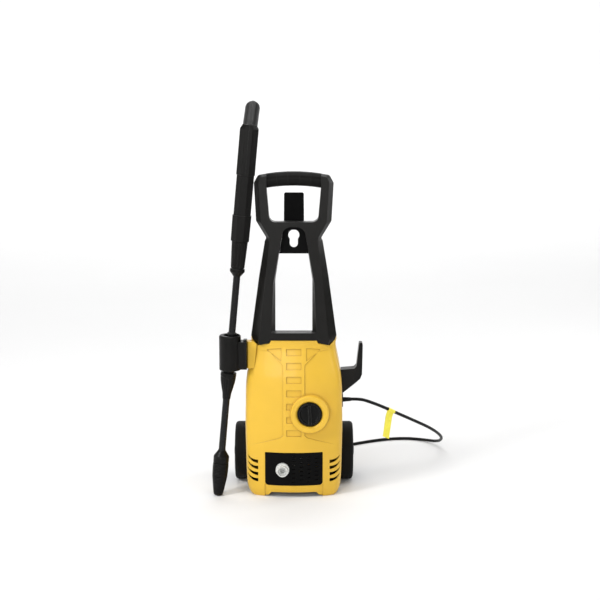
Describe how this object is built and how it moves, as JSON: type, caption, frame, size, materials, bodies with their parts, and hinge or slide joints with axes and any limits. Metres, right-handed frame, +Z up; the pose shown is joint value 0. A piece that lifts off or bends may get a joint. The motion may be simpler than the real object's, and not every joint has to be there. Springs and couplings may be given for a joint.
{
  "type": "pressure washer",
  "caption": "Upright yellow and black electric pressure washer on two wheels, with its spray gun and lance in a side holder.",
  "frame": {"origin": "middle of the footprint of machine and gun, on the floor", "axes": "+Z up, +X to the right of someone facing the front, +Y towards the back"},
  "size_m": [0.6103, 0.537, 0.9659],
  "materials": {
    "casing_yellow": "satin moulded ABS",
    "black_plastic": "fine-textured moulding",
    "grip_rubber": "soft-touch",
    "tyre_black": "solid moulded tread",
    "inlet_clear": "translucent white",
    "steel": "zinc-plated",
    "motor_alloy": "die-cast",
    "copper_brass": "bare",
    "mesh_plastic": "plain",
    "cord_black": "PVC sheath",
    "black_lacquer": "gloss black",
    "tag_yellow": "plain film"
  },
  "bodies": {
    "machine": {"axle_washers": "steel", "base_tray": "black_plastic", "capacitor": "motor_alloy", "cord_coil": "cord_black", "cord_hook": "black_plastic", "cord_tag": "tag_yellow", "cord_tube": "cord_black", "end_shields": "motor_alloy", "front_casing": "casing_yellow", "handle_front": "black_plastic", "handle_grip": "grip_rubber", "handle_rear": "black_plastic", "hose_hook": "black_plastic", "inlet_strainer": "mesh_plastic", "keyhole_plate": "black_plastic", "lance_holder": "black_plastic", "lower_panel": "black_plastic", "motor_bearings": "steel", "motor_can": "steel", "piston_springs": "steel", "pistons": "steel", "plug": "cord_black", "pressure_outlet": "copper_brass", "pressure_pipe": "copper_brass", "pump_head": "motor_alloy", "pump_housing": "motor_alloy", "rear_casing": "casing_yellow", "screws": "steel", "stator": "steel", "strain_relief": "cord_black", "stub_axles": "steel", "suction_pipe": "black_plastic", "switch_box": "black_plastic", "water_inlet": "inlet_clear"},
    "wheel_left": {"tyre_left": "tyre_black", "wheel_hub_left": "black_plastic", "wheel_cap_left": "black_plastic"},
    "wheel_right": {"tyre_right": "tyre_black", "wheel_hub_right": "black_plastic", "wheel_cap_right": "black_plastic"},
    "knob": {"switch_knob": "black_plastic"},
    "rotor": {"rotor": "steel", "cooling_fan": "black_plastic", "wobble_plate": "motor_alloy"},
    "gun": {"gun_barrel_cover": "black_plastic", "gun_shell_left": "black_plastic", "gun_shell_right": "black_plastic", "lance_nut": "black_plastic", "lance_tube_upper": "black_lacquer", "lance_socket": "black_plastic", "lance_coupling": "black_plastic", "lance_tube_lower": "black_lacquer", "nozzle_body": "black_plastic", "valve_body": "copper_brass", "hose_nipple": "copper_brass", "gun_screw": "steel"},
    "trigger": {"trigger": "black_plastic"},
    "trigger_lock": {"trigger_lock": "black_plastic"},
    "valve_pin": {"valve_pin": "steel"},
    "nozzle": {"nozzle_sleeve": "black_plastic"}
  },
  "joints": [
    {"name": "wheel_left_spin", "type": "hinge", "parent": "machine", "child": "wheel_left", "pos_m": [-0.11831, 0.058, 0.074], "axis": [1, 0, 0], "continuous": true},
    {"name": "wheel_right_spin", "type": "hinge", "parent": "machine", "child": "wheel_right", "pos_m": [0.14969, 0.058, 0.074], "axis": [1, 0, 0], "continuous": true},
    {"name": "knob_turn", "type": "hinge", "parent": "machine", "child": "knob", "pos_m": [0.05429, -0.115, 0.2145], "axis": [0, 1, 0], "range_deg": [0, 90]},
    {"name": "rotor_spin", "type": "hinge", "parent": "machine", "child": "rotor", "pos_m": [0.01569, 0.015, 0.25], "axis": [0, 0, 1], "continuous": true},
    {"name": "gun_lift", "type": "slide", "parent": "machine", "child": "gun", "axis": [0.0924, 0, 0.9957], "range_m": [0, 0.42]},
    {"name": "trigger_squeeze", "type": "hinge", "parent": "gun", "child": "trigger", "pos_m": [-0.09196, -0.07, 0.86987], "axis": [0.9957, 0, -0.0924], "range_deg": [0, 12], "stiffness_Nm_per_rad": 0.8},
    {"name": "valve_push", "type": "slide", "parent": "gun", "child": "valve_pin", "axis": [-0.0924, 0, -0.9957], "range_m": [0, 0.0034]},
    {"name": "lock_swing", "type": "hinge", "parent": "trigger", "child": "trigger_lock", "pos_m": [-0.09135, -0.02694, 0.87647], "axis": [-0.9957, 0, 0.0924], "range_deg": [0, 35]},
    {"name": "nozzle_twist", "type": "hinge", "parent": "gun", "child": "nozzle", "pos_m": [-0.16789, -0.085, 0.05139], "axis": [0.0924, 0, 0.9957], "range_deg": [0, 90]}
  ],
  "couplings": [
    {"joint": "valve_push", "follows": "trigger_squeeze", "m_per_rad": 0.0155}
  ]
}
